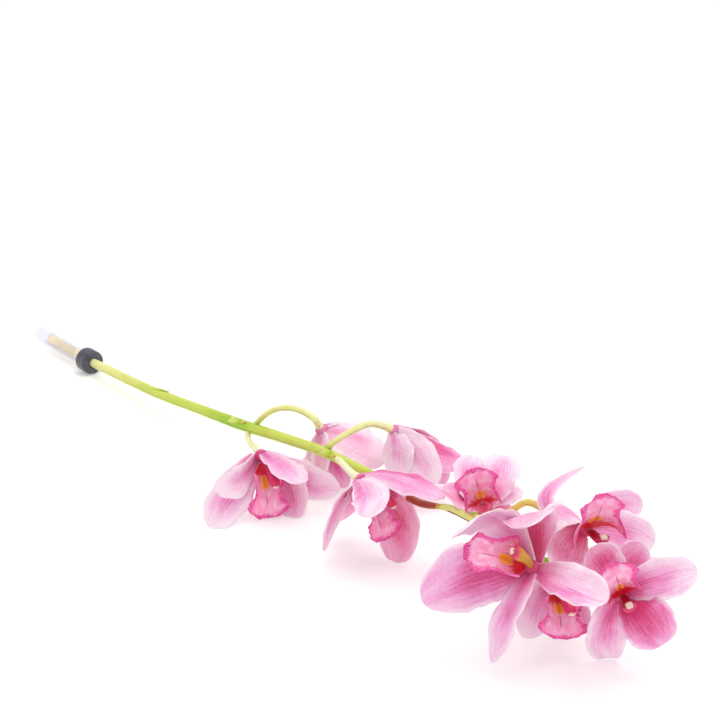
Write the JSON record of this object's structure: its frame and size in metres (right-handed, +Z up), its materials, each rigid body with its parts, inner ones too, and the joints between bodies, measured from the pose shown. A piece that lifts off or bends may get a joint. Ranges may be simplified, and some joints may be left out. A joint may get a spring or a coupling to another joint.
{
  "type": "cymbidium orchid stem",
  "caption": "Cut cymbidium orchid stem lying flat: arched green stem, pink blooms with lips and columns on short stalks, and a clear water tube with a rubber cap on the cut end.",
  "frame": {"origin": "middle of the underside of the whole stem as it lies on a table", "axes": "+X along the stem from the water tube to the last bloom, +Z up from the table"},
  "size_m": [0.5914, 0.1474, 0.0903],
  "materials": {
    "stem": "satin plant tissue",
    "tepals": "soft waxy petal",
    "lip": "soft waxy petal",
    "column": "waxy",
    "clear_tube": "clear",
    "cap": "matte",
    "water": "clear water"
  },
  "bodies": {
    "root": {"stem": "stem", "water_tube": "clear_tube", "rubber_cap": "cap", "water": "water", "bloom_a_tepals": "tepals", "bloom_a_lip": "lip", "bloom_a_column": "column", "bloom_b_tepals": "tepals", "bloom_b_lip": "lip", "bloom_b_column": "column", "bloom_c_tepals": "tepals", "bloom_c_lip": "lip", "bloom_c_column": "column", "bloom_d_tepals": "tepals", "bloom_d_lip": "lip", "bloom_d_column": "column", "bloom_e_tepals": "tepals", "bloom_e_lip": "lip", "bloom_e_column": "column", "bloom_f_tepals": "tepals", "bloom_f_lip": "lip", "bloom_f_column": "column", "bloom_g_tepals": "tepals", "bloom_g_lip": "lip", "bloom_g_column": "column", "bloom_h_tepals": "tepals", "bloom_h_lip": "lip", "bloom_h_column": "column", "bloom_i_tepals": "tepals", "bloom_i_lip": "lip", "bloom_i_column": "column"}
  },
  "joints": []
}
